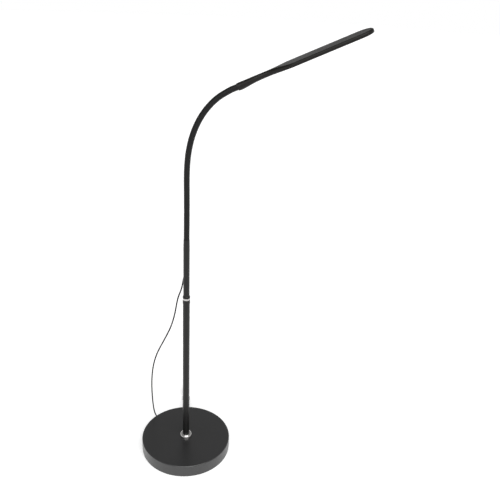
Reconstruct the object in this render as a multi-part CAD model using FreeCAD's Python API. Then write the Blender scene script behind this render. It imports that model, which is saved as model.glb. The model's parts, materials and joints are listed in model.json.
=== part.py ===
import FreeCAD, Part
import math
import os

# Gooseneck reading floor lamp. Millimetres, +Z up, origin at the centre of the
# base's foot pad. The neck and the head lie in the plane Y = 0, towards +X.

os.makedirs("parts", exist_ok=True)
Vec = FreeCAD.Vector
X_AXIS = Vec(1, 0, 0)
Y_AXIS = Vec(0, 1, 0)
Z_AXIS = Vec(0, 0, 1)

# ---- base ----
base_d = 250.0
base_h = 36.0  # floor to the cover's top
cover_wall = 1.2
cover_edge_r = 2.5
cover_lift = 1.0  # the cover's lower edge above the floor
pad_t = 1.5
pad_inset = 3.0
weight_gap = 0.5  # ballast casting inside the cover
weight_plate_t = 9.0
weight_rim_w = 8.5
weight_rim_chamfer = 3.0
weight_hub_r = 32.0
nut_pocket_r = 22.0
nut_pocket_depth = 14.0
collar_d = 34.0
collar_h = 9.5
collar_rim_h = 2.6
collar_lip_w = 0.9

# ---- clamp of the pole ----
rod_d = 10.0
rod_bore_d = 6.0
rod_end = 1.0  # rod below the nut
rod_reach = 22.0  # rod inside the pole's foot plug
nut_af = 17.0
nut_h = 8.0
washer_d = 36.0
washer_t = 2.0
hole_gap = 0.3  # loose holes round the rod
fit_gap = 0.05  # threads and pressed plugs

# ---- pole ----
lower_pole_d = 18.0
upper_pole_d = 16.0
pole_wall = 1.0
foot_plug_h = 25.0
joint_z = 487.0  # underside of the polished ring
joint_ring_h = 5.5
joint_ring_d = 18.8
socket_d = 19.2
socket_skirt_h = 8.0
socket_cap_h = 3.0
socket_plug_h = 30.0
flange_d = 19.4
flange_h = 4.0
flange_cone_h = 2.6
stud_d = 11.0
stud_reach = 25.0
stud_plug_h = 20.0
neck_start_z = 657.0
ferrule_h = 20.0
ferrule_plug_h = 18.0

# ---- cord exit ----
cord_d = 3.8
exit_z = 543.0
exit_turn = 100.0  # degrees from +X, seen from above
bush_d = 6.2
bush_flange_d = 8.6
bush_proud = 1.5
bush_inside = 1.5
cable_bend_r = 5.0

# ---- gooseneck ----
neck_d = 14.5
neck_len = 420.0  # visible length along its middle
neck_straight = 142.0  # stands straight so far, then curls over
neck_curl = 71.4  # how far the curl's formula turns, in degrees
neck_curl_power = 1.715
neck_lean = 0.4  # small sway of the straight stretch, in degrees
neck_hinges = 12
bend_swing = 18.0  # each bending hinge, both ways, in degrees
side_swing = 10.0
groove_spare = 0.4  # degrees of each hinge groove beyond the swing
groove_gap = 0.3
neck_sides = 12
rib_pitch = 4.2
rib_depth = 0.55
core_ball_r = 4.9
core_gap = 0.3
wire_bore_r = 2.0
spigot_r = 5.5
spigot_h = 15.0

# ---- head ----
head_pitch = 24.05  # degrees above the horizon
head_len = 323.5
socket_end_d = 17.1
bar_rise = 1.95  # bar's middle above the socket's
bar_w = 50.0
bar_below = 4.25
bar_above = 4.75
bar_top_r = 4.0
bar_bottom_r = 1.0
nose_len = 31.0
stem_r = 6.8
stem_start = 60.0
flare_start = 76.0
flare_end = 132.0
head_wall = 1.8
head_roof = 1.6
cavity_start = 138.0
bezel_t = 1.4
bezel_w = 5.2
window_start = 160.0
trim_gap = 0.15
diffuser_t = 1.6
diffuser_recess = 0.4
diffuser_lip = 0.8
board_t = 1.2
board_w = 34.0
led_l = 3.5
led_w = 2.8
led_h = 0.8
led_rows = 2
led_columns = 13
led_row_gap = 14.0
driver_l = 16.0
driver_w = 24.0
driver_t = 1.0
head_screw_d = 1.8
head_screw_head_d = 3.4
head_screw_head_h = 0.9
head_screw_l = 5.0
boss_r = 2.0
screw_inset = 2.0  # from the bezel's edge

# ---- cord ----
# The free cord from the bush to the hank, chosen by hand.
cord_route = [
    (-1.65, 9.36, 543.0),
    (-3.47, 19.7, 543.0),
    (-5.5, 29.9, 538.6),
    (-7.2, 37.6, 530.2),
    (-9.2, 41.6, 516.4),
    (-11.7, 43.6, 500.0),
    (-15.7, 45.6, 485.0),
    (-20.8, 47.9, 470.5),
    (-24.2, 49.9, 455.5),
    (-27.0, 52.2, 438.0),
    (-30.2, 54.8, 416.5),
    (-35.2, 58.6, 391.2),
    (-43.0, 63.6, 362.0),
    (-54.5, 69.4, 332.5),
    (-66.0, 75.6, 304.5),
    (-80.0, 83.0, 271.0),
    (-91.0, 89.6, 235.0),
    (-98.0, 95.0, 194.0),
    (-101.0, 99.4, 150.0),
    (-101.0, 103.0, 106.0),
    (-99.2, 106.0, 66.0),
    (-96.2, 108.8, 34.0),
    (-89.5, 111.6, 11.0),
    (-76.0, 115.6, 1.9),
    (-58.0, 122.0, 1.9),
    (-41.0, 126.8, 1.9),
    (-24.4, 131.0, 1.9),
    (-14.0, 139.3, 2.2),
    (-8.6, 151.0, 2.9),
    (-8.6, 164.0, 2.9),
]
hank_loops = 4
hank_pitch = 4.3  # between neighbouring strands
hank_run = 72.0
hank_fold_r = 12.0
hank_waist = 4.0  # upper strands above the lower ones at the tie
hank_lead = 4.0  # straight before the first run
tail_bend = 28.0
tail_end = 4.0
hank_sides = 8
run_sides = 8
tie_l = 8.0
tie_t = 0.6
tie_gap = 0.15
plug_grip_d = 10.0
plug_grip_l = 22.0
plug_boot_l = 20.0
plug_boot_d = 5.4
barrel_d = 5.5
barrel_bore_d = 2.1
barrel_l = 9.5

# ---- worked out ----
base_r = base_d / 2
cover_inner_r = base_r - cover_wall
weight_r = cover_inner_r - weight_gap
rod_r = rod_d / 2
lower_r = lower_pole_d / 2
upper_r = upper_pole_d / 2
lower_bore_r = lower_r - pole_wall
upper_bore_r = upper_r - pole_wall
pocket_top = pad_t + nut_pocket_depth
rod_bottom = pocket_top - washer_t - nut_h - rod_end
flange_z = joint_z + joint_ring_h
upper_pole_z = flange_z + flange_h + flange_cone_h
ferrule_z = neck_start_z - ferrule_h
neck_r = neck_d / 2
cord_r = cord_d / 2
link_len = neck_len / neck_hinges
socket_end_r = socket_end_d / 2
bar_half = bar_w / 2
bar_bottom = bar_rise - bar_below
bar_top = bar_rise + bar_above
ceiling = bar_top - head_roof
hank_low = cord_route[-1][2]


def save(node, shape):
    shape.exportStep("parts/" + node + ".step")


def turned(points):
    """Solid of revolution about Z from a closed (r, z) outline."""
    wire = Part.makePolygon([Vec(r, 0, z) for r, z in points + points[:1]])
    return Part.Face(wire).revolve(Vec(0, 0, 0), Z_AXIS, 360)


def tube(r_out, r_in, z0, z1):
    ring = Part.makeCylinder(r_out, z1 - z0, Vec(0, 0, z0))
    return ring.cut(Part.makeCylinder(r_in, z1 - z0, Vec(0, 0, z0)))


# ---------------------------------------------------------------- base


def base_cover():
    body = Part.makeCylinder(base_r, base_h - cover_lift, Vec(0, 0, cover_lift))
    top = [e for e in body.Edges if e.BoundBox.ZMin > base_h - 1e-3]
    body = body.makeFillet(cover_edge_r, top)
    inside = Part.makeCylinder(
        cover_inner_r, base_h - cover_wall - cover_lift, Vec(0, 0, cover_lift)
    )
    inner_edge = [e for e in inside.Edges if e.BoundBox.ZMin > base_h - cover_wall - 1e-3]
    inside = inside.makeFillet(cover_edge_r - cover_wall, inner_edge)
    hole = Part.makeCylinder(rod_r + hole_gap, base_h)
    return body.cut(inside).cut(hole)


def base_weight():
    """Dished casting: plate, rim and hub, with a pocket for the nut below."""
    top = base_h - cover_wall
    plate_top = pad_t + weight_plate_t
    rim_in = weight_r - weight_rim_w
    return turned(
        [
            (nut_pocket_r, pad_t),
            (weight_r, pad_t),
            (weight_r, top - weight_rim_chamfer),
            (weight_r - weight_rim_chamfer, top),
            (rim_in, top),
            (rim_in, plate_top),
            (weight_hub_r, plate_top),
            (weight_hub_r, top),
            (rod_r + hole_gap, top),
            (rod_r + hole_gap, pocket_top),
            (nut_pocket_r, pocket_top),
        ]
    )


def base_pad():
    return Part.makeCylinder(weight_r - pad_inset, pad_t)


def tie_rod():
    return tube(rod_r, rod_bore_d / 2, rod_bottom, base_h + rod_reach)


def base_washer():
    return tube(washer_d / 2, rod_r + hole_gap, pocket_top - washer_t, pocket_top)


def base_nut():
    corner_r = nut_af / 2 / math.cos(math.radians(30))
    corners = [
        Vec(corner_r * math.cos(math.radians(a)), corner_r * math.sin(math.radians(a)), 0)
        for a in range(0, 361, 60)
    ]
    nut = Part.Face(Part.makePolygon(corners)).extrude(Vec(0, 0, nut_h))
    bevel = Part.makeCone(nut_af / 2 + nut_h * 1.4, nut_af / 2, nut_h)
    nut = nut.common(bevel)
    nut.translate(Vec(0, 0, pocket_top - washer_t - nut_h))
    return nut.cut(Part.makeCylinder(rod_r + fit_gap, base_h))


def base_collar():
    """Domed collar round the pole's foot."""
    r_out = collar_d / 2
    r_in = lower_r + fit_gap
    r_top = r_in + collar_lip_w
    top = base_h + collar_h
    rim = base_h + collar_rim_h
    bulge = math.sqrt(0.5)
    mid = Vec(r_top + (r_out - r_top) * bulge, 0, rim + (top - rim) * bulge)
    outline = [
        Part.LineSegment(Vec(r_in, 0, base_h), Vec(r_out, 0, base_h)),
        Part.LineSegment(Vec(r_out, 0, base_h), Vec(r_out, 0, rim)),
        Part.Arc(Vec(r_out, 0, rim), mid, Vec(r_top, 0, top)),
        Part.LineSegment(Vec(r_top, 0, top), Vec(r_in, 0, top)),
        Part.LineSegment(Vec(r_in, 0, top), Vec(r_in, 0, base_h)),
    ]
    face = Part.Face(Part.Wire([c.toShape() for c in outline]))
    return face.revolve(Vec(0, 0, 0), Z_AXIS, 360)


# ---------------------------------------------------------------- pole


def foot_plug():
    return tube(lower_bore_r - fit_gap, rod_r + fit_gap, base_h, base_h + foot_plug_h)


def lower_pole():
    return tube(lower_r, lower_bore_r, base_h, joint_z - socket_cap_h)


def joint_socket():
    """Threaded plug in the lower pole's top, with a skirt over the tube's end."""
    cap_z = joint_z - socket_cap_h
    return turned(
        [
            (stud_d / 2 + fit_gap, cap_z - socket_plug_h),
            (lower_bore_r - fit_gap, cap_z - socket_plug_h),
            (lower_bore_r - fit_gap, cap_z),
            (lower_r + fit_gap, cap_z),
            (lower_r + fit_gap, cap_z - socket_skirt_h),
            (socket_d / 2, cap_z - socket_skirt_h),
            (socket_d / 2, joint_z),
            (stud_d / 2 + fit_gap, joint_z),
        ]
    )


def joint_ring():
    ring = tube(joint_ring_d / 2, stud_d / 2 + fit_gap, joint_z, joint_z + joint_ring_h)
    edges = [e for e in ring.Edges if abs(e.BoundBox.XMax - joint_ring_d / 2) < 1e-3]
    circles = [e for e in edges if e.BoundBox.ZLength < 1e-3]
    return ring.makeFillet(joint_ring_h / 8, circles)


def joint_stud():
    """Upper flange with the stud below it and the plug of the upper pole above."""
    return turned(
        [
            (0, flange_z - stud_reach),
            (stud_d / 2, flange_z - stud_reach),
            (stud_d / 2, flange_z),
            (flange_d / 2, flange_z),
            (flange_d / 2, flange_z + flange_h),
            (upper_r, upper_pole_z),
            (upper_bore_r - fit_gap, upper_pole_z),
            (upper_bore_r - fit_gap, upper_pole_z + stud_plug_h),
            (0, upper_pole_z + stud_plug_h),
        ]
    )


def exit_way():
    angle = math.radians(exit_turn)
    return Vec(math.cos(angle), math.sin(angle), 0)


def upper_pole():
    pole = tube(upper_r, upper_bore_r, upper_pole_z, ferrule_z)
    hole = Part.makeCylinder(
        bush_d / 2 + fit_gap, upper_pole_d, Vec(0, 0, exit_z), exit_way()
    )
    return pole.cut(hole)


def cord_bush():
    """Moulded bush that lines the cord's hole."""
    way = exit_way()
    start = upper_bore_r - bush_inside
    shank = Part.makeCylinder(
        bush_d / 2, upper_r - start + bush_proud, Vec(0, 0, exit_z) + way * start, way
    )
    flange = Part.makeCylinder(
        bush_flange_d / 2, bush_proud + pole_wall, Vec(0, 0, exit_z) + way * upper_bore_r, way
    )
    outside = Part.makeCylinder(
        upper_r + fit_gap, upper_pole_d, Vec(0, 0, exit_z - upper_r)
    )
    bore = Part.makeCylinder(cord_r + fit_gap, upper_pole_d, Vec(0, 0, exit_z), way)
    return shank.fuse(flange.cut(outside)).cut(bore)


def pole_cable():
    """The cable's end inside: in through the bush and up the upper pole."""
    way = exit_way()
    start = way * (upper_r + bush_proud) + Vec(0, 0, exit_z)
    turn = way * cable_bend_r + Vec(0, 0, exit_z)
    up = Vec(0, 0, exit_z + cable_bend_r)
    corner = 1 - math.sqrt(0.5)
    mid = way * (cable_bend_r * corner) + Vec(0, 0, exit_z + cable_bend_r * corner)
    path = Part.Wire(
        [
            Part.LineSegment(start, turn).toShape(),
            Part.Arc(turn, mid, up).toShape(),
            Part.LineSegment(up, Vec(0, 0, neck_start_z - spigot_h)).toShape(),
        ]
    )
    return swept(path, cord_r)


def neck_ferrule():
    """Tapered ferrule between the upper pole and the gooseneck."""
    return turned(
        [
            (spigot_r + fit_gap, ferrule_z - ferrule_plug_h),
            (upper_bore_r - fit_gap, ferrule_z - ferrule_plug_h),
            (upper_bore_r - fit_gap, ferrule_z),
            (upper_r, ferrule_z),
            (neck_r + core_gap, neck_start_z),
            (spigot_r + fit_gap, neck_start_z),
        ]
    )


# ---------------------------------------------------------------- gooseneck


def neck_slope(s):
    """Angle from the vertical, in degrees, at the length s along the neck."""
    sway = neck_lean * math.cos(math.pi * min(s, neck_straight) / neck_straight)
    curl = max(0.0, (s - neck_straight) / (neck_len - neck_straight))
    return sway + (neck_curl + neck_lean) * curl**neck_curl_power


def neck_points():
    """The neck's foot, its hinge centres and its tip."""
    steps_per_half = 20
    step = link_len / 2 / steps_per_half
    here = Vec(0, 0, neck_start_z)
    points = [here]
    for half in range(2 * neck_hinges):
        for i in range(steps_per_half):
            s = (half * steps_per_half + i + 0.5) * step
            angle = math.radians(neck_slope(s))
            here = here + Vec(math.sin(angle), 0, math.cos(angle)) * step
        if half % 2 == 0:
            points.append(here)
    last = points[-1]
    angle = math.radians(head_pitch)
    return points + [last + Vec(math.cos(angle), 0, math.sin(angle)) * (link_len / 2)]


def faceted_turning(profile, foot, way):
    """Closed (x, r) outline turned with flat sides about a line from foot along way."""
    side_dir = Y_AXIS
    other = way.cross(side_dir)
    rings = []
    for x, r in profile:
        ring = []
        for i in range(neck_sides):
            angle = 2 * math.pi * (i + 0.5) / neck_sides
            offset = side_dir * (r * math.cos(angle)) + other * (r * math.sin(angle))
            ring.append(foot + way * x + offset)
        rings.append(ring)
    faces = []
    for j, ring in enumerate(rings):
        following = rings[(j + 1) % len(rings)]
        for i in range(neck_sides):
            k = (i + 1) % neck_sides
            quad = [ring[i], ring[k], following[k], following[i], ring[i]]
            faces.append(Part.Face(Part.makePolygon(quad)))
    solid = Part.makeSolid(Part.makeShell(faces))
    if solid.Volume < 0:
        solid.reverse()
    return solid


def rib_line(x0, x1):
    """Crests and roots of the wound ribs between two ends."""
    count = max(1, round((x1 - x0) / rib_pitch))
    pitch = (x1 - x0) / count
    line = []
    for i in range(count):
        line.append((x0 + i * pitch, neck_r))
        line.append((x0 + (i + 0.5) * pitch, neck_r - rib_depth))
    line.append((x1, neck_r))
    return line


def socket_end(groove):
    """Hollow lower end at x = 0: groove face, cavity of the core, bore."""
    flat = 1 / math.cos(math.pi / neck_sides)
    cavity_r = core_ball_r + core_gap
    slant = cavity_r * (math.sqrt(2) - 1)
    rim_r = cavity_r * flat
    return [
        (cavity_r, wire_bore_r),
        (cavity_r, slant * flat),
        (slant, rim_r),
        (rim_r * math.tan(groove) + groove_gap, rim_r),
        (neck_r * math.tan(groove) + groove_gap, neck_r),
    ]


def ball_end(x_end, groove):
    """Core ball at x = x_end: groove face, ball, bore."""
    bevel = core_ball_r * math.sqrt(0.5)
    return [
        (x_end - neck_r * math.tan(groove) - groove_gap, neck_r),
        (x_end - core_ball_r * math.tan(groove) - groove_gap, core_ball_r),
        (x_end, core_ball_r),
        (x_end + bevel, bevel),
        (x_end + math.sqrt(core_ball_r**2 - wire_bore_r**2), wire_bore_r),
    ]


def grooves(points):
    """Half-angle of each hinge's groove, from its rest turn and its swing."""
    found = []
    for k in range(neck_hinges):
        before = points[k + 1] - points[k]
        after = points[k + 2] - points[k + 1]
        rest = math.degrees(before.getAngle(after))
        if k % 2 == 0:
            total = rest + bend_swing
        else:
            total = math.hypot(rest, side_swing)
        found.append(math.radians(total / 2 + groove_spare))
    return found


def neck_base(points, groove):
    """Fixed lower stretch, with a spigot in the ferrule and the first ball."""
    foot = points[0]
    way = Vec(points[1] - foot).normalize()
    length = (points[1] - foot).Length
    top = ball_end(length, groove)
    profile = (
        [(-spigot_h, wire_bore_r), (-spigot_h, spigot_r), (0, spigot_r)]
        + rib_line(0, top[0][0])[:-1]
        + top
    )
    return faceted_turning(profile, foot, way)


def neck_link(a, b, groove_a, groove_b):
    way = Vec(b - a).normalize()
    low = socket_end(groove_a)
    top = ball_end((b - a).Length, groove_b)
    profile = low[:-1] + rib_line(low[-1][0], top[0][0])[:-1] + top
    return faceted_turning(profile, a, way)


def neck_tip(a, b, groove):
    """Fixed upper stretch, with a spigot in the head's socket."""
    way = Vec(b - a).normalize()
    length = (b - a).Length
    low = socket_end(groove)
    profile = (
        low[:-1]
        + rib_line(low[-1][0], length - groove_gap)
        + [
            (length - groove_gap, spigot_r),
            (length + spigot_h, spigot_r),
            (length + spigot_h, wire_bore_r),
        ]
    )
    return faceted_turning(profile, a, way)


# ---------------------------------------------------------------- head


def head_place(tip):
    """Head pieces are drawn along +X from the socket's mouth, then set on the neck."""
    return FreeCAD.Placement(tip, FreeCAD.Rotation(Y_AXIS, -head_pitch))


def section(u, half_w, low, high, top_r, bottom_r):
    """Rounded rectangle across the head at the length u."""
    corners = [
        (half_w, high, top_r, 0),
        (-half_w, high, top_r, 90),
        (-half_w, low, bottom_r, 180),
        (half_w, low, bottom_r, 270),
    ]
    arcs = []
    for y, z, r, first in corners:
        centre = Vec(u, y - math.copysign(r, y), z - r if z == high else z + r)
        points = []
        for angle in (first, first + 45, first + 90):
            a = math.radians(angle)
            points.append(centre + Vec(0, r * math.cos(a), r * math.sin(a)))
        arcs.append(points)
    edges = []
    for i, points in enumerate(arcs):
        edges.append(Part.Arc(*points).toShape())
        after = arcs[(i + 1) % len(arcs)][0]
        edges.append(Part.LineSegment(points[2], after).toShape())
    return Part.Wire(edges)


def round_section(u, r, middle):
    nearly = r - 0.05
    return section(u, r, middle - r, middle + r, nearly, nearly)


def blend(start, end, share):
    smooth = share * share * (3 - 2 * share)
    return start + (end - start) * smooth


def flare_section(share):
    """From the round stem to the flat bar."""
    u = flare_start + (flare_end - flare_start) * share
    top = socket_end_r
    return section(
        u,
        blend(stem_r, bar_half, share),
        blend(top - 2 * stem_r, bar_bottom, share),
        blend(top, bar_top, share),
        blend(stem_r - 0.05, bar_top_r, share),
        blend(stem_r - 0.05, bar_bottom_r, share),
    )


def paddle_plan(inset, start):
    """Plan of the bar from u = start to its elliptical nose, drawn inside by inset."""
    half = bar_half - inset
    nose_u = head_len - nose_len
    nose = Part.Ellipse(Vec(nose_u, 0, 0), nose_len - inset, half)
    low = Vec(nose_u, -half, 0)
    high = Vec(nose_u, half, 0)
    first = nose.parameter(low)
    curve = Part.ArcOfEllipse(nose, first, first + math.pi).toShape()
    if (curve.valueAt(curve.FirstParameter) - low).Length > 1e-6:
        curve = Part.ArcOfEllipse(nose, first + math.pi, first + 2 * math.pi).toShape()
    return Part.Wire(
        [
            Part.LineSegment(Vec(start, -half, 0), low).toShape(),
            curve,
            Part.LineSegment(high, Vec(start, half, 0)).toShape(),
            Part.LineSegment(Vec(start, half, 0), Vec(start, -half, 0)).toShape(),
        ]
    )


def paddle_slab(inset, start, low, high):
    face = Part.Face(paddle_plan(inset, start))
    slab = face.extrude(Vec(0, 0, high - low))
    slab.translate(Vec(0, 0, low))
    return slab


def rim_edges(slab, z):
    """The paddle's edges at one height, without its straight inner end."""
    found = []
    for edge in slab.Edges:
        box = edge.BoundBox
        level = abs(box.ZMin - z) < 1e-3 and abs(box.ZMax - z) < 1e-3
        if level and box.XMax > flare_end + 1e-3:
            found.append(edge)
    return found


def paddle():
    slab = paddle_slab(0, flare_end, bar_bottom, bar_top)
    slab = slab.makeFillet(bar_bottom_r, rim_edges(slab, bar_bottom))
    return slab.makeFillet(bar_top_r, rim_edges(slab, bar_top))


def screw_spots():
    """Bezel screws: a pair near the stem and a pair before the nose."""
    y = bar_half - head_wall - trim_gap - screw_inset
    us = (cavity_start + 2 * screw_inset, head_len - nose_len)
    return [(u, side * y) for u in us for side in (-1, 1)]


def head_housing():
    """Moulded housing: round socket, stem and open-bottomed paddle in one."""
    sections = [
        round_section(0, socket_end_r, 0),
        round_section(flare_start / 3, socket_end_r - 0.5, 0.5),
        round_section(stem_start, stem_r, socket_end_r - stem_r),
    ]
    sections += [flare_section(i / 5) for i in range(6)]
    neck = Part.makeLoft(sections, True, False)
    body = neck.fuse(paddle()).removeSplitter()
    body = body.cut(paddle_slab(head_wall, cavity_start, bar_bottom - 1, ceiling))
    body = body.cut(Part.makeCylinder(spigot_r + fit_gap, spigot_h + 1, Vec(0, 0, 0), X_AXIS))
    body = body.cut(
        Part.makeCylinder(cord_r + core_gap, cavity_start, Vec(spigot_h, 0, bar_rise / 2), X_AXIS)
    )
    bosses = []
    for u, y in screw_spots():
        boss = Part.makeCylinder(boss_r, ceiling - bar_bottom - bezel_t, Vec(u, y, bar_bottom + bezel_t))
        bosses.append(boss)
    body = body.fuse(bosses)
    for u, y in screw_spots():
        hole = Part.makeCylinder(
            head_screw_d / 2 + fit_gap, head_screw_l + 1, Vec(u, y, bar_bottom)
        )
        body = body.cut(hole)
    return body


def window(inset):
    """Plan of the light window, smaller by inset."""
    edge = head_wall + trim_gap + bezel_w + inset
    return edge, window_start + inset


def head_bezel():
    plate = paddle_slab(
        head_wall + trim_gap, cavity_start + trim_gap, bar_bottom, bar_bottom + bezel_t
    )
    inset, start = window(0)
    plate = plate.cut(paddle_slab(inset, start, bar_bottom - 1, bar_bottom + bezel_t + 1))
    for u, y in screw_spots():
        shank = Part.makeCylinder(
            head_screw_d / 2 + fit_gap, bezel_t + 2, Vec(u, y, bar_bottom - 1)
        )
        sink = Part.makeCylinder(
            head_screw_head_d / 2 + fit_gap, head_screw_head_h, Vec(u, y, bar_bottom)
        )
        plate = plate.cut(shank).cut(sink)
    return plate


def diffuser():
    """Pane in the window, with a lip that rests on the bezel."""
    inset, start = window(trim_gap)
    pane = paddle_slab(inset, start, bar_bottom + diffuser_recess, bar_bottom + bezel_t)
    inset, start = window(-diffuser_lip)
    lip_z = bar_bottom + bezel_t
    lip = paddle_slab(inset, start, lip_z, lip_z + diffuser_t)
    return pane.fuse(lip).removeSplitter()


def light_frame():
    """White frame that spaces the board from the diffuser."""
    low = bar_bottom + bezel_t + diffuser_t
    high = ceiling - board_t
    inset, start = window(-diffuser_lip)
    outer = paddle_slab(inset, start, low, high)
    inner = paddle_slab(inset + diffuser_lip, start + diffuser_lip, low - 1, high + 1)
    return outer.cut(inner)


def board_start():
    return window(-diffuser_lip)[1]


def led_board():
    inset = bar_half - board_w / 2
    return paddle_slab(inset, board_start(), ceiling - board_t, ceiling)


def led_chips():
    """Two rows of lamps under the board."""
    first = window_start + led_l
    last = head_len - nose_len
    pitch = (last - first) / (led_columns - 1)
    z = ceiling - board_t - led_h
    chips = []
    for row in range(led_rows):
        y = (row - (led_rows - 1) / 2) * led_row_gap
        for column in range(led_columns):
            corner = Vec(first + column * pitch - led_l / 2, y - led_w / 2, z)
            chips.append(Part.makeBox(led_l, led_w, led_h, corner))
    return Part.makeCompound(chips)


def driver_board():
    """Small board with the touch sensor, against the roof beside the stem."""
    u = board_start() - trim_gap - driver_l
    board = Part.makeBox(driver_l, driver_w, driver_t, Vec(u, -driver_w / 2, ceiling - driver_t))
    chip_w = driver_l / 3
    chip = Part.makeBox(
        chip_w, chip_w, driver_t, Vec(u + chip_w, -chip_w / 2, ceiling - 2 * driver_t)
    )
    return board.fuse(chip).removeSplitter()


def head_cable():
    start = spigot_h + 1 + core_gap
    end = board_start() - trim_gap - driver_l - core_gap
    return Part.makeCylinder(cord_r, end - start, Vec(start, 0, bar_rise / 2), X_AXIS)


def head_screws():
    screws = []
    for u, y in screw_spots():
        head = Part.makeCylinder(head_screw_head_d / 2, head_screw_head_h, Vec(u, y, bar_bottom))
        shank = Part.makeCylinder(head_screw_d / 2, head_screw_l, Vec(u, y, bar_bottom))
        screws.append(head.fuse(shank).removeSplitter())
    return Part.makeCompound(screws)


# ---------------------------------------------------------------- cord


def swept(path, radius, sides=0):
    """Solid along a path, round, or flat-sided where sides are given."""
    start = path.Edges[0]
    way = start.tangentAt(start.FirstParameter)
    origin = start.valueAt(start.FirstParameter)
    if sides == 0:
        outline = Part.Wire(Part.makeCircle(radius, origin, way))
    else:
        flat = way.cross(Z_AXIS) if abs(way.z) < 0.9 else way.cross(X_AXIS)
        flat.normalize()
        up = flat.cross(way)
        corner_r = radius / math.cos(math.pi / sides)
        ring = []
        for i in range(sides + 1):
            angle = 2 * math.pi * (i + 0.5) / sides
            offset = flat * (corner_r * math.cos(angle)) + up * (corner_r * math.sin(angle))
            ring.append(origin + offset)
        outline = Part.makePolygon(ring)
    return path.makePipeShell([outline], True, False)


def rounded_path(points):
    """Straight runs joined by tangent arcs, each as large as its two runs allow."""
    pts = [Vec(*p) for p in points]
    edges = []
    radii = []
    here = pts[0]
    for before, corner, after in zip(pts, pts[1:], pts[2:]):
        back = (before - corner).normalize()
        on = (after - corner).normalize()
        run = min((before - corner).Length, (after - corner).Length)
        half_turn = (math.pi - back.getAngle(on)) / 2
        reach = 0.45 * run
        radius = reach / math.tan(half_turn)
        a = corner + back * reach
        b = corner + on * reach
        inward = (back + on).normalize()
        mid = corner + inward * (radius / math.cos(half_turn) - radius)
        edges.append(Part.LineSegment(here, a).toShape())
        edges.append(Part.Arc(a, mid, b).toShape())
        radii.append(radius)
        here = b
    edges.append(Part.LineSegment(here, pts[-1]).toShape())
    return Part.Wire(edges), radii


def s_bend(a, b):
    """Two equal arcs from a to b, both ends along Y."""
    span = b - a
    along = span.y
    aside = Vec(span.x, 0, span.z)
    rise = aside.Length
    if rise < 1e-6:
        return [Part.LineSegment(a, b).toShape()]
    side = aside.normalize()
    radius = (along * along + rise * rise) / (4 * rise)
    angle = math.asin(abs(along) / 2 / radius)
    forward = Vec(0, math.copysign(1, along), 0)
    middle = (a + b) * 0.5
    part = forward * (radius * math.sin(angle / 2)) + side * (radius * (1 - math.cos(angle / 2)))
    return [
        Part.Arc(a, a + part, middle).toShape(),
        Part.Arc(middle, b - part, b).toShape(),
    ]


def fold(at, way, up):
    """Half turn in the plane across X, as two quarter arcs."""
    r = hank_fold_r
    lift = Vec(0, 0, r * up)
    out = Vec(0, r * way, 0)
    centre = at + lift
    half = math.sqrt(0.5)
    first = centre - lift * half + out * half
    second = centre + lift * half + out * half
    return [
        Part.Arc(at, first, centre + out).toShape(),
        Part.Arc(centre + out, second, centre + lift).toShape(),
    ]


def hank_ends():
    near = cord_route[-1][1] + hank_lead
    return near, near + hank_run


def lane(index):
    return (index - hank_loops / 2) * hank_pitch


def hank_path():
    """Loops side by side, each upper run drawn down to the tie at its middle."""
    near, far = hank_ends()
    middle = (near + far) / 2
    high = hank_low + 2 * hank_fold_r
    waist = hank_low + hank_waist
    edges = []
    here = Vec(*cord_route[-1])
    for loop in range(hank_loops):
        end = Vec(lane(loop), far, hank_low)
        edges.append(Part.LineSegment(here, end).toShape())
        edges += fold(end, 1, 1)
        top_far = Vec(lane(loop), far, high)
        tied = Vec(lane(loop + 0.5), middle, waist)
        top_near = Vec(lane(loop + 1), near, high)
        edges += s_bend(top_far, tied)
        edges += s_bend(tied, top_near)
        edges += fold(top_near, -1, -1)
        here = Vec(lane(loop + 1), near, hank_low)
    out = Vec(lane(hank_loops), far + hank_lead, hank_low)
    edges.append(Part.LineSegment(here, out).toShape())
    bent = Vec(0, out.y + tail_bend, plug_grip_d / 2)
    edges += s_bend(out, bent)
    end = bent + Vec(0, tail_end, 0)
    edges.append(Part.LineSegment(bent, end).toShape())
    return Part.Wire(edges), end


def least_gap(path):
    """Smallest gap between strands of a path, measured on points along it."""
    step = cord_r
    points = []
    for edge in path.OrderedEdges:
        count = max(2, int(edge.Length / step))
        points += edge.discretize(count)[:-1]
    apart = int(4 * cord_d / step)
    least = 1e9
    for i, p in enumerate(points):
        for q in points[i + apart :]:
            least = min(least, (p - q).Length)
    return least - cord_d


def cord_run():
    path, radii = rounded_path(cord_route)
    print("cord_run radii", [round(r, 1) for r in radii])
    solid = swept(path, cord_r, run_sides)
    compare("cord_run", path, solid, run_sides)
    return solid


def compare(name, path, solid, sides):
    """Volume against section times length."""
    section_area = sides * cord_r**2 * math.tan(math.pi / sides)
    ratio = solid.Volume / (section_area * path.Length)
    print(name, "length", round(path.Length, 1), "volume ratio", round(ratio, 4))


def cord_hank():
    path, _ = hank_path()
    print("cord_hank least gap", round(least_gap(path), 2))
    solid = swept(path, cord_r, hank_sides)
    compare("cord_hank", path, solid, hank_sides)
    return solid


def cord_tie():
    """Flat strap round the middle of the hank."""
    near, far = hank_ends()
    half = lane(hank_loops) + cord_r + tie_gap
    low = hank_low - cord_r - tie_gap - tie_t
    rise = tie_l**2 / 8 / hank_fold_r
    high = hank_low + hank_waist + cord_r + tie_gap + rise
    y = (near + far) / 2 - tie_l / 2
    outer = Part.makeBox(
        2 * (half + tie_t), tie_l, high + tie_t - low, Vec(-half - tie_t, y, low)
    )
    inner = Part.makeBox(2 * half, tie_l, high - low - tie_t, Vec(-half, y, low + tie_t))
    return outer.cut(inner)


def plug_foot():
    return hank_path()[1]


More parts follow.
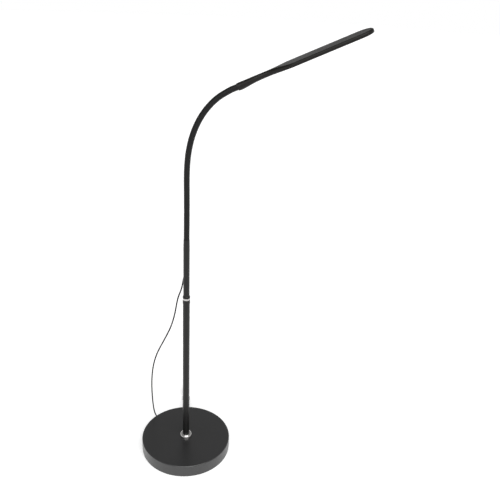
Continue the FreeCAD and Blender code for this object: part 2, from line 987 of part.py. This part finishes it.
def plug_body():
    """Moulded grip with a tapered boot round the cord."""
    start = plug_foot()
    boot = Part.makeCone(plug_boot_d / 2, plug_grip_d / 2 * 0.8, plug_boot_l, start, Y_AXIS)
    grip_at = start + Y_AXIS * plug_boot_l
    grip = Part.makeCylinder(plug_grip_d / 2, plug_grip_l, grip_at, Y_AXIS)
    ends = [e for e in grip.Edges if e.BoundBox.YLength < 1e-3]
    grip = grip.makeFillet(0.8, ends)
    return boot.fuse(grip).removeSplitter()


def plug_barrel():
    at = plug_foot() + Y_AXIS * (plug_boot_l + plug_grip_l)
    barrel = Part.makeCylinder(barrel_d / 2, barrel_l, at, Y_AXIS)
    return barrel.cut(Part.makeCylinder(barrel_bore_d / 2, barrel_l, at, Y_AXIS))


# ---------------------------------------------------------------- build


def build_neck():
    points = neck_points()
    angles = grooves(points)
    save("neck_base", neck_base(points, angles[0]))
    for k in range(1, neck_hinges):
        link = neck_link(points[k], points[k + 1], angles[k - 1], angles[k])
        save("neck_link_%02d" % k, link)
    save("neck_tip", neck_tip(points[-2], points[-1], angles[-1]))
    for k, p in enumerate(points[1:-1]):
        print("hinge", k + 1, round(p.x, 3), round(p.z, 3))
    return points


def build_head(tip):
    place = head_place(tip)
    pieces = {
        "head_housing": head_housing(),
        "head_bezel": head_bezel(),
        "diffuser": diffuser(),
        "light_frame": light_frame(),
        "led_board": led_board(),
        "led_chips": led_chips(),
        "driver_board": driver_board(),
        "head_cable": head_cable(),
        "head_screws": head_screws(),
    }
    for node, shape in pieces.items():
        shape.Placement = place.multiply(shape.Placement)
        save(node, shape)


def build_stand():
    for make in (
        base_cover,
        base_weight,
        base_pad,
        tie_rod,
        base_washer,
        base_nut,
        base_collar,
        foot_plug,
        lower_pole,
        joint_socket,
        joint_ring,
        joint_stud,
        upper_pole,
        cord_bush,
        pole_cable,
        neck_ferrule,
    ):
        save(make.__name__, make())


def build_cord():
    for make in (cord_run, cord_hank, cord_tie, plug_body, plug_barrel):
        save(make.__name__, make())


build_stand()
neck = build_neck()
build_head(neck[-1])
build_cord()
print("neck tip", round(neck[-1].x, 3), round(neck[-1].z, 3))
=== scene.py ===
import json
import math

import bpy
from mathutils import Matrix, Vector

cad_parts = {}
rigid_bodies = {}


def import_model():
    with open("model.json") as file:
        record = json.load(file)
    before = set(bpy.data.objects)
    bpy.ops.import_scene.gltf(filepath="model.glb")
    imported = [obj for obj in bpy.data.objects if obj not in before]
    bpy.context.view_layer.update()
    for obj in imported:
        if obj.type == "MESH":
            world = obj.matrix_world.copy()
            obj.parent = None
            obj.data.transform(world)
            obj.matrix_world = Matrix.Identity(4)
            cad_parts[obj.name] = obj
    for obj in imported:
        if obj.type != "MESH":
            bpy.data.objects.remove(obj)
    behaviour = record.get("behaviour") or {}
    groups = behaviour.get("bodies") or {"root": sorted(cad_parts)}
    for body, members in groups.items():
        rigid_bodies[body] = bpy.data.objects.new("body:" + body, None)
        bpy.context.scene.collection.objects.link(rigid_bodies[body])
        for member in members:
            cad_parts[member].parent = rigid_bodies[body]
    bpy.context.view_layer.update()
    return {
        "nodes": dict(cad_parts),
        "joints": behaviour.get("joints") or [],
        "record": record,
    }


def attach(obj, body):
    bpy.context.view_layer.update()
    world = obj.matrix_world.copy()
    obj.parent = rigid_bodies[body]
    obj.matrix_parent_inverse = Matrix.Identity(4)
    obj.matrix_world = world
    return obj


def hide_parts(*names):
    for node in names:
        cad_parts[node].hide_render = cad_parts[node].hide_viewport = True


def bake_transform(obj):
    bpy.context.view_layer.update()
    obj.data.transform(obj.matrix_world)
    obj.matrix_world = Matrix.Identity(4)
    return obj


# Gooseneck reading floor lamp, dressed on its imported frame. Metres, +Z up.

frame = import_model()
nodes = frame["nodes"]
# The neck's hinges in order, from its foot to the head.
hinges = sorted(frame["joints"], key=lambda j: (j["pos_m"][2], j["pos_m"][0]))
MM = 0.001

# ---- camera, fitted to the photograph ----
CAMERA_PLACE = (0, -1.40896, 1.29478)
CAMERA_RIGHT = Vector((0.99482202, -0.09046487, 0.04631696))
CAMERA_UP = Vector((-0.0032311, 0.42734756, 0.90408165))
CAMERA_AHEAD = Vector((0.10158107, 0.89954998, -0.42484246))
CAMERA_LENS = 44.735
CAMERA_SENSOR = 36
CAMERA_CLIP = (0.05, 60)

# ---- studio ----
FLOOR_HALF = 30
FLOOR_LIFT = 0.42  # brings the lit pale floor up to white
BACKDROP_R = 14.0
BACKDROP_H = 4.5
BACKDROP_SIDES = 48
WORLD_LIGHT = 0.32
KEY_LIGHT = 2.0
KEY_WIDTH = 60  # degrees across
KEY_ELEVATION = 52
KEY_AZIMUTH = 12  # 0 is in front of the lamp, 90 on its +X side

# ---- surfaces ----
NOISE_LOW, NOISE_HIGH = 0.3, 0.7  # the part of a noise that does something
FINE = 0.0002  # how deep a fine grain goes
ROUGH_DRIFT = 0.03
ROUGH_PATCHES = 9
TINT_LIGHT, TINT_DARK = 1.06, 0.94
TINT_PATCHES = 14

# Powder coats and mouldings: colour, roughness, grain, strength of the grain, gloss.
COATS = {
    "cover_paint": ((0.016, 0.016, 0.0165), 0.34, 1500, 0.06, 0.9),
    "pole_paint": ((0.008, 0.008, 0.0076), 0.38, 1200, 0.04, 0.35),
    "neck_paint": ((0.005, 0.005, 0.005), 0.42, 1500, 0.04, 0.25),
    "shell": ((0.0062, 0.0054, 0.0042), 0.4, 1800, 0.05, 0.28),
    "trim": ((0.022, 0.021, 0.020), 0.45, 1800, 0.05, 0.5),
    "pad": ((0.02, 0.02, 0.02), 0.85, 700, 0.3, 0.5),
    "bush": ((0.015, 0.015, 0.015), 0.6, 900, 0.1, 0.5),
    "strap": ((0.02, 0.02, 0.02), 0.4, 900, 0.05, 0.5),
    "plug": ((0.018, 0.018, 0.018), 0.45, 1400, 0.08, 0.5),
    "jacket": ((0.008, 0.008, 0.008), 0.5, 1200, 0.05, 0.2),
    "white": ((0.8, 0.8, 0.79), 0.5, 900, 0.05, 0.5),
    "circuit": ((0.015, 0.09, 0.035), 0.35, 1500, 0.05, 0.5),
    "board": ((0.75, 0.76, 0.77), 0.45, 900, 0.03, 0.5),
}

# ---- gooseneck ----
NECK_FOOT = Vector((0, 0, 0.657))
NECK_R = 0.00725
HEAD_PITCH = math.radians(24.05)
LINK = 0.035
TURNS_PER_HALF = 6  # turns of wire on half a link
RINGS_PER_TURN = 10
RING_POINTS = 28
WIRE_DEPTH = 0.0006
RINGS_PER_HALF = TURNS_PER_HALF * RINGS_PER_TURN
WIRE_PITCH = LINK / 2 / TURNS_PER_HALF

# ---- cord ----
CORD_R = 0.0019
# The same route as the tube's, in millimetres, as are the hank's sizes.
CORD_ROUTE = [
    (-1.65, 9.36, 543.0),
    (-3.47, 19.7, 543.0),
    (-5.5, 29.9, 538.6),
    (-7.2, 37.6, 530.2),
    (-9.2, 41.6, 516.4),
    (-11.7, 43.6, 500.0),
    (-15.7, 45.6, 485.0),
    (-20.8, 47.9, 470.5),
    (-24.2, 49.9, 455.5),
    (-27.0, 52.2, 438.0),
    (-30.2, 54.8, 416.5),
    (-35.2, 58.6, 391.2),
    (-43.0, 63.6, 362.0),
    (-54.5, 69.4, 332.5),
    (-66.0, 75.6, 304.5),
    (-80.0, 83.0, 271.0),
    (-91.0, 89.6, 235.0),
    (-98.0, 95.0, 194.0),
    (-101.0, 99.4, 150.0),
    (-101.0, 103.0, 106.0),
    (-99.2, 106.0, 66.0),
    (-96.2, 108.8, 34.0),
    (-89.5, 111.6, 11.0),
    (-76.0, 115.6, 1.9),
    (-58.0, 122.0, 1.9),
    (-41.0, 126.8, 1.9),
    (-24.4, 131.0, 1.9),
    (-14.0, 139.3, 2.2),
    (-8.6, 151.0, 2.9),
    (-8.6, 164.0, 2.9),
]
HANK_LOOPS = 4
HANK_PITCH = 4.3
HANK_NEAR = 168.0
HANK_FAR = 240.0
HANK_FOLD = 12.0
HANK_LOW = 2.9
HANK_WAIST = 6.9
HANK_DIP = 11.8  # how far along a strand goes down to the tie
LAST_BEND = 11
PLUG_Y = 276.0
PLUG_Z = 5.0


def add_object(name, data):
    obj = bpy.data.objects.new(name, data)
    bpy.context.scene.collection.objects.link(obj)
    return obj


# ---------------------------------------------------------------- camera


def make_camera():
    data = bpy.data.cameras.new("camera")
    data.sensor_width = CAMERA_SENSOR
    data.lens = CAMERA_LENS
    data.clip_start, data.clip_end = CAMERA_CLIP
    camera = add_object("camera", data)
    turn = Matrix((CAMERA_RIGHT, CAMERA_UP, -CAMERA_AHEAD)).transposed()
    camera.matrix_world = Matrix.Translation(CAMERA_PLACE) @ turn.to_4x4()
    bpy.context.scene.camera = camera


# ---------------------------------------------------------------- materials


def new_material(name, colour, rough, metallic=0.0, **sockets):
    mat = bpy.data.materials.new(name)
    mat.use_nodes = True
    shader = mat.node_tree.nodes["Principled BSDF"]
    shader.inputs["Base Color"].default_value = (*colour, 1)
    shader.inputs["Roughness"].default_value = rough
    shader.inputs["Metallic"].default_value = metallic
    for key, value in sockets.items():
        shader.inputs[key.replace("_", " ")].default_value = value
    return mat


def noise(mat, scale, detail=2, stretch=(1, 1, 1)):
    """Noise that stays put on the object."""
    tree = mat.node_tree
    where = tree.nodes.new("ShaderNodeTexCoord")
    mapping = tree.nodes.new("ShaderNodeMapping")
    mapping.inputs["Scale"].default_value = stretch
    tree.links.new(where.outputs["Object"], mapping.inputs["Vector"])
    node = tree.nodes.new("ShaderNodeTexNoise")
    node.inputs["Scale"].default_value = scale
    node.inputs["Detail"].default_value = detail
    tree.links.new(mapping.outputs["Vector"], node.inputs["Vector"])
    return node.outputs["Fac"]


def bump(mat, height, strength, distance=FINE):
    tree = mat.node_tree
    node = tree.nodes.new("ShaderNodeBump")
    node.inputs["Strength"].default_value = strength
    node.inputs["Distance"].default_value = distance
    tree.links.new(height, node.inputs["Height"])
    tree.links.new(node.outputs["Normal"], tree.nodes["Principled BSDF"].inputs["Normal"])


def vary(mat, socket, fac, low, high):
    """Let a pattern move a shader value or colour between two ends."""
    tree = mat.node_tree
    target = tree.nodes["Principled BSDF"].inputs[socket]
    ramp = tree.nodes.new("ShaderNodeMapRange")
    ramp.inputs["From Min"].default_value = NOISE_LOW
    ramp.inputs["From Max"].default_value = NOISE_HIGH
    tree.links.new(fac, ramp.inputs["Value"])
    if isinstance(low, tuple):
        mix = tree.nodes.new("ShaderNodeMix")
        mix.data_type = "RGBA"
        mix.inputs["A"].default_value = (*low, 1)
        mix.inputs["B"].default_value = (*high, 1)
        tree.links.new(ramp.outputs["Result"], mix.inputs["Factor"])
        tree.links.new(mix.outputs["Result"], target)
    else:
        ramp.inputs["To Min"].default_value = low
        ramp.inputs["To Max"].default_value = high
        tree.links.new(ramp.outputs["Result"], target)


def coated(name, colour, rough, grain, strength, gloss):
    """Powder coat or moulding: a fine pebble, with a drift of roughness and tint."""
    mat = new_material(name, colour, rough, Specular_IOR_Level=gloss)
    bump(mat, noise(mat, grain), strength)
    vary(mat, "Roughness", noise(mat, ROUGH_PATCHES), rough - ROUGH_DRIFT, rough + ROUGH_DRIFT)
    light = tuple(c * TINT_LIGHT for c in colour)
    dark = tuple(c * TINT_DARK for c in colour)
    vary(mat, "Base Color", noise(mat, TINT_PATCHES), dark, light)
    return mat


def make_materials():
    mats = {name: coated(name, *coat) for name, coat in COATS.items()}

    mat = mats["polished"] = new_material("polished", (0.55, 0.54, 0.53), 0.14, metallic=1.0)
    vary(mat, "Roughness", noise(mat, 60), 0.1, 0.16)
    mat = mats["steel"] = new_material("steel", (0.5, 0.5, 0.5), 0.35, metallic=1.0)
    bump(mat, noise(mat, 900, stretch=(1, 1, 0.05)), strength=0.1)
    mat = mats["contact"] = new_material("contact", (0.72, 0.68, 0.6), 0.22, metallic=1.0)
    vary(mat, "Roughness", noise(mat, 300), 0.18, 0.28)
    mat = mats["casting"] = new_material("casting", (0.09, 0.09, 0.095), 0.75, metallic=0.6)
    bump(mat, noise(mat, 260, detail=4), strength=0.5, distance=0.0008)

    mat = mats["pane"] = new_material(
        "pane", (0.86, 0.86, 0.84), 0.35, Subsurface_Weight=0.3, Subsurface_Scale=0.003
    )
    bump(mat, noise(mat, 2200), strength=0.05)
    mat = mats["led"] = new_material("led", (0.85, 0.75, 0.35), 0.3, Coat_Weight=0.4)
    vary(mat, "Base Color", noise(mat, 900), (0.8, 0.68, 0.28), (0.88, 0.78, 0.4))
    return mats


def dress_frame(mats):
    """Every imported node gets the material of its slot."""
    slots = {s["node"]: s["material_slot"] for s in frame["record"]["subparts"]}
    for name, obj in nodes.items():
        obj.data.materials.clear()
        obj.data.materials.append(mats[slots[name]])


# ---------------------------------------------------------------- meshes


def skin_object(name, rings, mat):
    """Mesh object from closed rings of points, with open ends."""
    verts = [tuple(p) for ring in rings for p in ring]
    n = len(rings[0])
    faces = []
    for i in range(len(rings) - 1):
        for j in range(n):
            k = (j + 1) % n
            faces.append((i * n + j, i * n + k, (i + 1) * n + k, (i + 1) * n + j))
    mesh = bpy.data.meshes.new(name)
    mesh.from_pydata(verts, [], faces)
    mesh.materials.append(mat)
    mesh.shade_smooth()
    return add_object(name, mesh)


# ---------------------------------------------------------------- gooseneck


def hermite(a, b, slope_a, slope_b, t):
    """Point at t between a and b, with a slope given at each end."""
    size = (b - a).length
    h = (2 * t**3 - 3 * t**2 + 1, t**3 - 2 * t**2 + t, -2 * t**3 + 3 * t**2, t**3 - t**2)
    return h[0] * a + h[1] * size * slope_a + h[2] * b + h[3] * size * slope_b


def neck_line():
    """Smooth line from the neck's foot through its hinges to its tip, in half links."""
    way = Vector((math.cos(HEAD_PITCH), 0, math.sin(HEAD_PITCH)))
    pivots = [Vector(hinge["pos_m"]) for hinge in hinges]
    knots = [NECK_FOOT, *pivots, pivots[-1] + way * (LINK / 2)]
    inner = [(knots[i + 1] - knots[i - 1]).normalized() for i in range(1, len(knots) - 1)]
    slopes = [Vector((0, 0, 1)), *inner, way]
    halves = []
    for i in range(len(knots) - 1):
        at_end = i in (0, len(knots) - 2)
        count = RINGS_PER_HALF if at_end else 2 * RINGS_PER_HALF
        ends = (knots[i], knots[i + 1], slopes[i], slopes[i + 1])
        line = [hermite(*ends, j / count) for j in range(count + 1)]
        if at_end:
            halves.append(line)
        else:
            halves += [line[: RINGS_PER_HALF + 1], line[RINGS_PER_HALF:]]
    return halves


def wound_ring(centre, ahead, travelled):
    """Ring round the neck, cut across beads of wound wire."""
    side = Vector((0, 1, 0))
    up = ahead.cross(side).normalized()
    ring = []
    for i in range(RING_POINTS):
        angle = math.tau * i / RING_POINTS
        phase = (travelled / WIRE_PITCH - i / RING_POINTS) % 1.0
        bead = math.sqrt(max(0.0, 1 - (2 * phase - 1) ** 2))
        r = NECK_R - WIRE_DEPTH * (1 - bead)
        ring.append(centre + side * (r * math.cos(angle)) + up * (r * math.sin(angle)))
    return ring


def make_neck(mats):
    """The wound neck, one piece over each hinge, drawn curved along the line through the
    hinges and baked in place.
    """
    halves = neck_line()
    chain = [hinge["parent"] for hinge in hinges] + [hinges[-1]["child"]]
    for k in range(len(chain) - 1):
        line = halves[2 * k] + halves[2 * k + 1][1:]
        rings = []
        for i, p in enumerate(line):
            before = line[max(0, i - 1)]
            after = line[min(len(line) - 1, i + 1)]
            travelled = (2 * k * RINGS_PER_HALF + i) * WIRE_PITCH / RINGS_PER_TURN
            rings.append(wound_ring(p, (after - before).normalized(), travelled))
        piece = skin_object("gooseneck_%02d" % (k + 1), rings, mats["neck_paint"])
        node = "neck_base" if k == 0 else "neck_link_%02d" % k
        if k == len(chain) - 2:
            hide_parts(node, "neck_tip")
        else:
            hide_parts(node)
        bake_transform(piece)


# ---------------------------------------------------------------- cord


def hank_points():
    """Loops side by side, drawn in to the tie at their middle."""
    r = HANK_FOLD
    q = r * math.tan(math.radians(22.5))  # corners of an eighth turn's tangents
    low, high = HANK_LOW, HANK_LOW + 2 * r
    middle = (HANK_NEAR + HANK_FAR) / 2
    points = []
    for loop in range(HANK_LOOPS):
        x0 = (loop - HANK_LOOPS / 2) * HANK_PITCH
        half = x0 + HANK_PITCH / 2
        x1 = x0 + HANK_PITCH
        if loop > 0:
            points.append((x0, HANK_NEAR + q, low))
        points += [
            (x0, HANK_FAR - q, low),
            (x0, HANK_FAR + q, low),
            (x0, HANK_FAR + r, low + r - q),
            (x0, HANK_FAR + r, low + r + q),
            (x0, HANK_FAR + q, high),
            (x0, HANK_FAR - HANK_DIP, high),
            (half, middle + HANK_DIP, HANK_WAIST),
            (half, middle - HANK_DIP, HANK_WAIST),
            (x1, HANK_NEAR + HANK_DIP, high),
            (x1, HANK_NEAR - q, high),
            (x1, HANK_NEAR - r, low + r + q),
            (x1, HANK_NEAR - r, low + r - q),
            (x1, HANK_NEAR - q, low),
        ]
    out = HANK_LOOPS / 2 * HANK_PITCH
    points += [
        (out, HANK_NEAR + q, low),
        (out, HANK_FAR + LAST_BEND, low),
        (0, PLUG_Y - LAST_BEND, PLUG_Z),
        (0, PLUG_Y, PLUG_Z),
    ]
    return points


def make_cord(mats):
    points = CORD_ROUTE + hank_points()
    data = bpy.data.curves.new("power_cord", "CURVE")
    data.dimensions = "3D"
    data.bevel_depth = CORD_R
    data.bevel_resolution = 5
    data.resolution_u = 10
    data.use_fill_caps = True
    spline = data.splines.new("NURBS")
    spline.points.add(len(points) - 1)
    for slot, p in zip(spline.points, points):
        slot.co = (p[0] * MM, p[1] * MM, p[2] * MM, 1)
    spline.order_u = 3
    spline.use_endpoint_u = True
    data.materials.append(mats["jacket"])
    piece = add_object("power_cord", data)
    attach(piece, "stand")
    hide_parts("cord_run", "cord_hank")


# ---------------------------------------------------------------- studio


def seen_or_mirrored(tree):
    """1 for rays from the camera, a gloss or a glass, 0 for the rays that light things."""
    path = tree.nodes.new("ShaderNodeLightPath")
    total = path.outputs["Is Camera Ray"]
    for name in ("Is Glossy Ray", "Is Transmission Ray"):
        add = tree.nodes.new("ShaderNodeMath")
        add.operation = "MAXIMUM"
        tree.links.new(total, add.inputs[0])
        tree.links.new(path.outputs[name], add.inputs[1])
        total = add.outputs[0]
    return total


def studio_material(name, colour, rough, lift):
    """Plain matt colour that is lifted by some white where it is seen or mirrored."""
    mat = new_material(name, colour, rough, Specular_IOR_Level=0.0)
    tree = mat.node_tree
    shader = tree.nodes["Principled BSDF"]
    shader.inputs["Emission Color"].default_value = (1, 1, 1, 1)
    scale = tree.nodes.new("ShaderNodeMath")
    scale.operation = "MULTIPLY"
    scale.inputs[1].default_value = lift
    tree.links.new(seen_or_mirrored(tree), scale.inputs[0])
    tree.links.new(scale.outputs[0], shader.inputs["Emission Strength"])
    return mat


def make_floor():
    s = FLOOR_HALF
    mesh = bpy.data.meshes.new("floor")
    mesh.from_pydata([(-s, -s, 0), (s, -s, 0), (s, s, 0), (-s, s, 0)], [], [(0, 1, 2, 3)])
    mesh.materials.append(studio_material("floor", (0.9, 0.9, 0.9), 0.9, FLOOR_LIFT))
    floor = add_object("floor", mesh)


def make_backdrop():
    """White wall round the floor; it is seen and mirrored but sheds no light."""
    turns = [math.tau * i / BACKDROP_SIDES for i in range(BACKDROP_SIDES)]
    rings = [
        [(BACKDROP_R * math.cos(a), BACKDROP_R * math.sin(a), height) for a in turns]
        for height in (0, BACKDROP_H)
    ]
    backdrop = skin_object("backdrop", rings, studio_material("backdrop", (0, 0, 0), 1.0, 1.0))
    backdrop.visible_diffuse = False
    backdrop.visible_shadow = False


def make_key_light():
    """One broad soft panel far away."""
    data = bpy.data.lights.new("key", "SUN")
    data.energy = KEY_LIGHT
    data.angle = math.radians(KEY_WIDTH)
    light = add_object("key", data)
    e, a = math.radians(KEY_ELEVATION), math.radians(KEY_AZIMUTH)
    way = Vector((math.sin(a) * math.cos(e), -math.cos(a) * math.cos(e), math.sin(e)))
    light.rotation_mode = "QUATERNION"
    light.rotation_quaternion = (-way).to_track_quat("-Z", "Y")


def make_studio():
    make_floor()
    make_backdrop()
    world = bpy.data.worlds.new("world")
    world.use_nodes = True
    background = world.node_tree.nodes["Background"]
    background.inputs["Color"].default_value = (1, 1, 1, 1)
    background.inputs["Strength"].default_value = WORLD_LIGHT
    bpy.context.scene.world = world
    bpy.context.scene.view_settings.view_transform = "Standard"
    make_key_light()


# ---------------------------------------------------------------- build

make_camera()
materials = make_materials()
dress_frame(materials)
make_cord(materials)
make_neck(materials)
make_studio()
